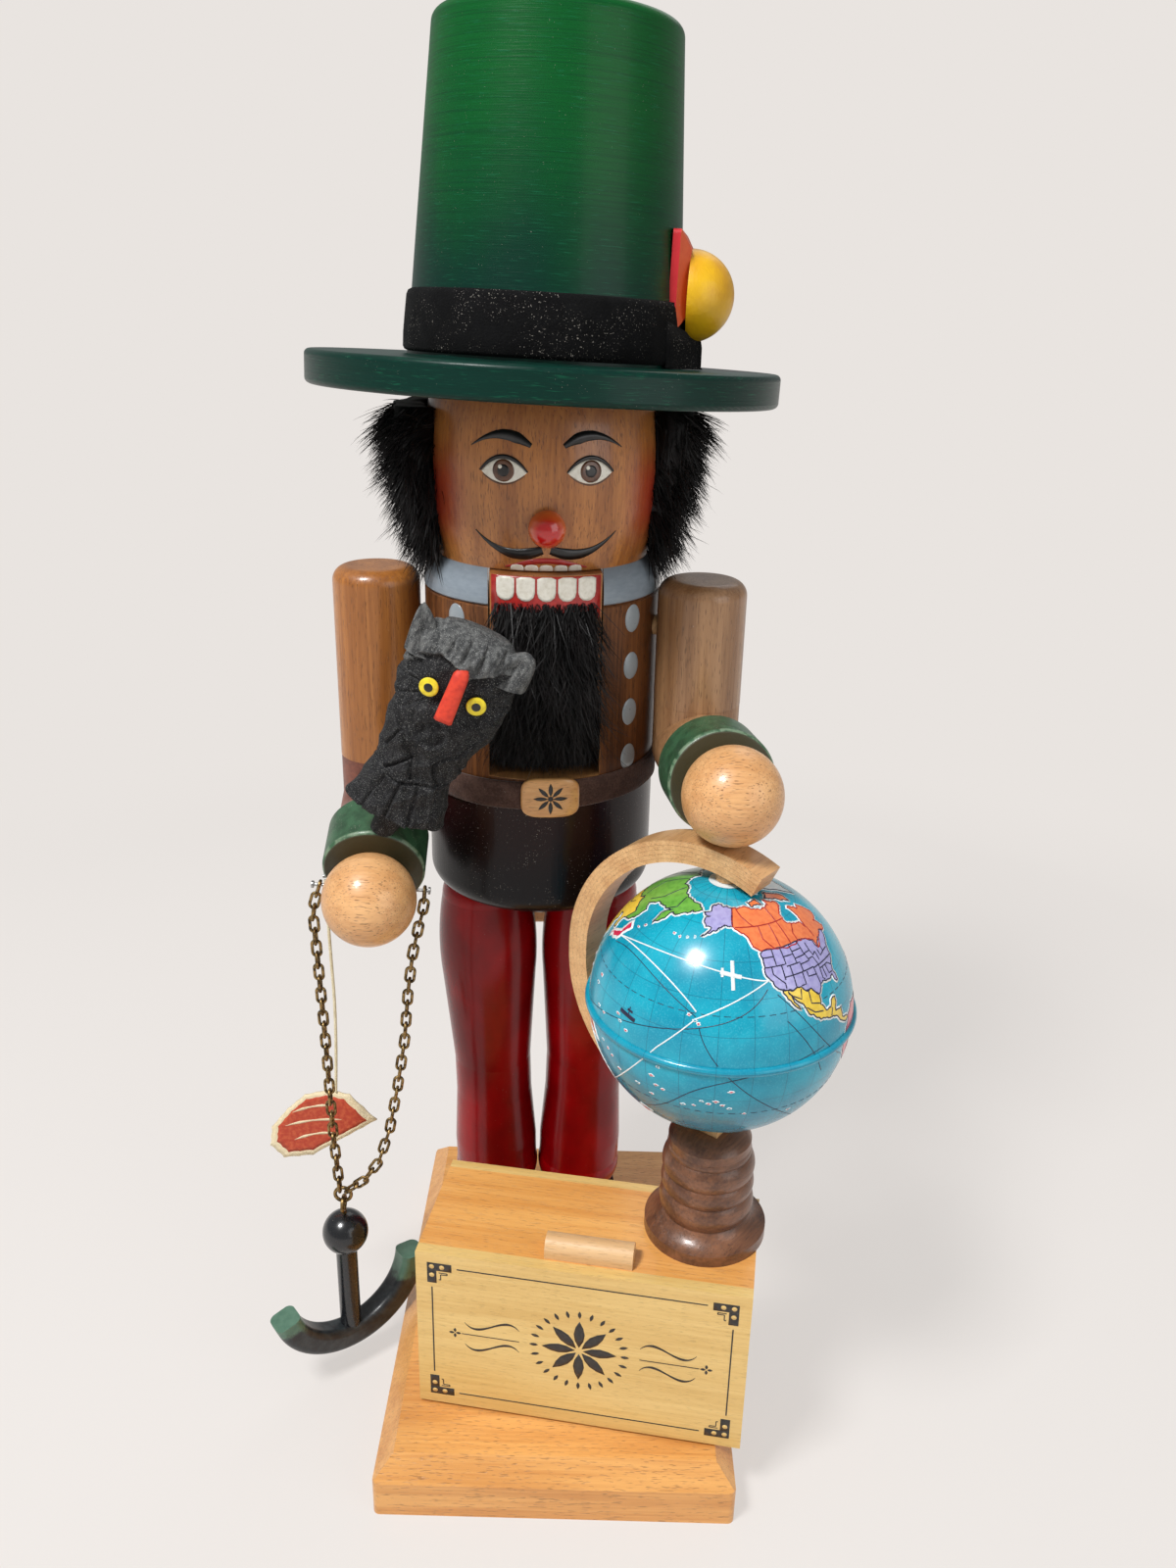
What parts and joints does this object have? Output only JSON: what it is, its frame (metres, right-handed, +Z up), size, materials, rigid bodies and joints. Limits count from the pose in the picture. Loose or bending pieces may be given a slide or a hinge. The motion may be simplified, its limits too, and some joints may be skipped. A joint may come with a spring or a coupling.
{
  "type": "wooden nutcracker figure",
  "caption": "Standing wooden figure in a tall hat whose rear lever works a jaw for cracking nuts, with a small chest, a turning globe, an owl and an anchor on a chain.",
  "frame": {"origin": "centre of the plinth's bottom face", "axes": "+Z up, -Y the way the figure faces, +X to the viewer's right"},
  "size_m": [0.182, 0.1726, 0.4156],
  "materials": {
    "plinth": "satin lacquer",
    "chest": "satin lacquer",
    "raw_wood": "raw",
    "red_leg": "gloss paint",
    "black_shoe": "gloss paint",
    "coat": "satin stain",
    "face_wood": "satin lacquer",
    "nose_red": "gloss paint",
    "black_fur": "fur",
    "hat_green": "gloss paint",
    "hat_velvet": "velvet",
    "cockade_red": "matte paint",
    "cockade_yellow": "satin paint",
    "arm_wood": "satin stain",
    "cuff_green": "satin paint",
    "hand_wood": "gloss lacquer",
    "belt_suede": "suede",
    "buckle": "gloss paint",
    "button_grey": "gloss paint",
    "owl_grey": "matte paint",
    "chain_brass": "antique",
    "anchor_black": "satin paint",
    "globe_print": "gloss print",
    "globe_ply": "satin lacquer",
    "walnut": "satin lacquer",
    "steel": "plain",
    "tag_paper": "printed paper",
    "tag_thread": "cotton"
  },
  "bodies": {
    "figure": {"belt": "belt_suede", "belt_buckle": "buckle", "chest_back": "chest", "chest_bottom": "chest", "chest_front": "chest", "chest_left_side": "chest", "chest_lid_front": "chest", "chest_lid_rear": "chest", "chest_pull": "chest", "chest_right_side": "chest", "coat_buttons": "button_grey", "cockade_ball": "cockade_yellow", "cockade_plate": "cockade_red", "elbow_dowels": "raw_wood", "foot_dowel": "raw_wood", "globe_arm": "globe_ply", "globe_axle": "steel", "globe_bushes": "globe_ply", "globe_foot": "walnut", "hair": "black_fur", "hand_pins": "steel", "hat_band": "hat_velvet", "hat_brim": "hat_green", "hat_crown": "hat_green", "hat_dowel": "raw_wood", "head": "face_wood", "head_dowels": "raw_wood", "jaw_pin": "steel", "left_forearm": "cuff_green", "left_hand": "hand_wood", "left_leg": "red_leg", "left_shoe": "black_shoe", "left_upper_arm": "arm_wood", "leg_dowels": "raw_wood", "leg_screws": "steel", "nose": "nose_red", "owl": "owl_grey", "owl_dowel": "raw_wood", "plinth": "plinth", "right_forearm": "cuff_green", "right_hand": "hand_wood", "right_leg": "red_leg", "right_shoe": "black_shoe", "right_upper_arm": "arm_wood", "shoulder_dowels": "raw_wood", "tag_card": "tag_paper", "tag_thread": "tag_thread", "torso": "coat", "wrist_dowels": "raw_wood"},
    "jaw": {"jaw_lever": "face_wood", "beard": "black_fur"},
    "globe": {"globe_north": "globe_print", "globe_south": "globe_print"},
    "chain": {"chain_left_strand": "chain_brass", "chain_right_strand": "chain_brass", "chain_ring": "chain_brass"},
    "anchor": {"anchor_eye": "chain_brass", "anchor_ball": "anchor_black", "anchor_shank": "anchor_black", "anchor_arms": "anchor_black"}
  },
  "joints": [
    {"name": "jaw_open", "type": "hinge", "parent": "figure", "child": "jaw", "pos_m": [-0.01087, 0.03258, 0.246], "axis": [0.9969, 0.0785, 0], "range_deg": [0, 25], "deforming": ["beard"]},
    {"name": "globe_spin", "type": "hinge", "parent": "figure", "child": "globe", "pos_m": [0.0444, -0.0386, 0.1605], "axis": [0, 0, 1], "continuous": true},
    {"name": "chain_swing", "type": "hinge", "parent": "figure", "child": "chain", "pos_m": [-0.05851, -0.01729, 0.18195], "axis": [-0.9994, 0, 0.035], "range_deg": [0, 30]},
    {"name": "anchor_swing", "type": "hinge", "parent": "chain", "child": "anchor", "pos_m": [-0.0719, -0.02, 0.07125], "axis": [0, 1, 0], "range_deg": [0, 30]}
  ]
}
